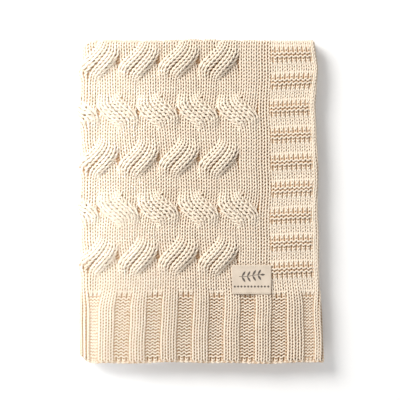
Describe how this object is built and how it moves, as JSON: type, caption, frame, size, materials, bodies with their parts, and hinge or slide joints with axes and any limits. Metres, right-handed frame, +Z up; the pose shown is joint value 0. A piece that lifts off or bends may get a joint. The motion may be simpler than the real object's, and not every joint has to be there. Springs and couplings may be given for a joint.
{
  "type": "folded throw blanket",
  "caption": "Chunky cream cotton cable-knit throw folded in quarters, with a sewn woven label; the last fold opens like a book.",
  "frame": {"origin": "under the middle of the folded pack, on the surface that it lies on", "axes": "+X across the pack to its open side with the selvedges, +Y along the pack to the far folds, +Z up; the side fold is at -X, and the ribbed hems with the cast-on edges at -Y"},
  "size_m": [0.38, 0.518, 0.036],
  "materials": {
    "cotton_knit": "matt cream cotton yarn",
    "label_tape": "fine satin-woven beige tape",
    "sewing_thread": "beige cotton thread"
  },
  "bodies": {
    "lower_half": {"bottom_quarter": "cotton_knit", "second_quarter": "cotton_knit", "lower_far_fold": "cotton_knit", "outer_side_fold": "cotton_knit", "inner_side_fold": "cotton_knit", "corner_fold": "cotton_knit"},
    "upper_half": {"third_quarter": "cotton_knit", "top_quarter": "cotton_knit", "upper_far_fold": "cotton_knit", "woven_label": "label_tape", "label_thread_near": "sewing_thread", "label_thread_far": "sewing_thread"}
  },
  "joints": [
    {"name": "last_fold", "type": "hinge", "parent": "lower_half", "child": "upper_half", "pos_m": [-0.1771, 0, 0.01705], "axis": [0, -1, 0], "range_deg": [0, 180], "deforming": ["outer_side_fold", "inner_side_fold", "corner_fold"]}
  ]
}
